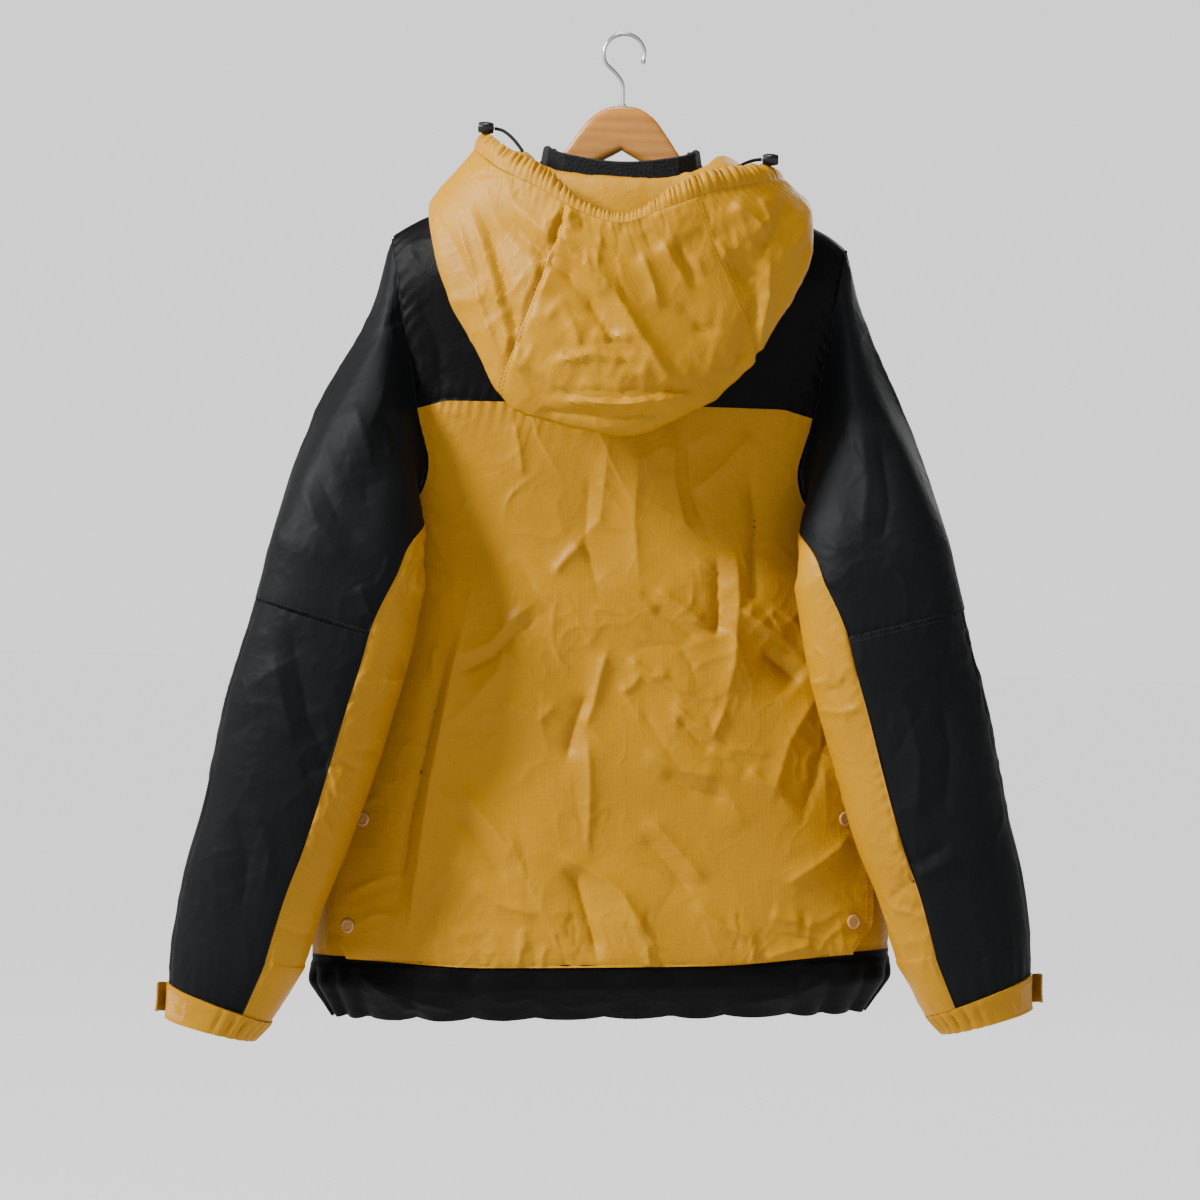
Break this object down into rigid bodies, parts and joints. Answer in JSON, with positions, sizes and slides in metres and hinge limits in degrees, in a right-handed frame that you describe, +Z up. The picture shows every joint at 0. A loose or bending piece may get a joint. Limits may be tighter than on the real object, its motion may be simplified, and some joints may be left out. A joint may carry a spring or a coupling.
{
  "type": "down jacket on a clothes hanger",
  "caption": "Hooded insulated jacket hung on a wooden clothes hanger, with a black yoke, gathered hem band, long sleeves and a hanging hood.",
  "frame": {"origin": "the inside top of the hanger's hook, where a rail carries it", "axes": "+Z up along the hanging jacket, -Y towards its front opening, +X towards the wearer's left sleeve"},
  "size_m": [0.7818, 0.2325, 0.9071],
  "materials": {
    "yellow_shell": "satin",
    "black_shell": "satin",
    "charcoal_shell": "satin",
    "fleece": "matte",
    "black_plastic": "matte",
    "black_cord": "matte",
    "hook_and_loop": "matte",
    "snap": "satin",
    "zip_teeth": "satin",
    "zip_metal": "satin",
    "zip_tape": "matte",
    "steel": "satin",
    "wood": "satin"
  },
  "bodies": {
    "jacket": {"back_panel": "yellow_shell", "back_yoke": "black_shell", "collar": "fleece", "cord_lock_left": "black_plastic", "cord_lock_right": "black_plastic", "cuff_left": "yellow_shell", "cuff_patch_left": "hook_and_loop", "cuff_patch_right": "hook_and_loop", "cuff_right": "yellow_shell", "cuff_tab_left": "yellow_shell", "cuff_tab_right": "yellow_shell", "front_left": "yellow_shell", "front_right": "yellow_shell", "front_yoke_left": "black_shell", "front_yoke_right": "black_shell", "hanger_hook": "steel", "hanger_wood": "wood", "hem_band": "black_shell", "hood_center": "yellow_shell", "hood_cord_left": "black_cord", "hood_cord_right": "black_cord", "hood_left": "yellow_shell", "hood_right": "yellow_shell", "hood_rim": "yellow_shell", "sleeve_gusset_left": "yellow_shell", "sleeve_gusset_right": "yellow_shell", "sleeve_lower_back_left": "charcoal_shell", "sleeve_lower_back_right": "charcoal_shell", "sleeve_lower_front_left": "charcoal_shell", "sleeve_lower_front_right": "charcoal_shell", "sleeve_upper_left": "charcoal_shell", "sleeve_upper_right": "charcoal_shell", "snap_lower_left": "snap", "snap_lower_right": "snap", "snap_upper_left": "snap", "snap_upper_right": "snap", "zip_chain": "zip_teeth", "zip_slider": "zip_metal", "zip_tape_left": "zip_tape", "zip_tape_right": "zip_tape"},
    "pull": {"zip_pull": "zip_metal"}
  },
  "joints": [
    {"name": "pull_swing", "type": "hinge", "parent": "jacket", "child": "pull", "pos_m": [0, -0.0577, -0.133], "axis": [-1, 0, 0], "range_deg": [0, 150]}
  ]
}
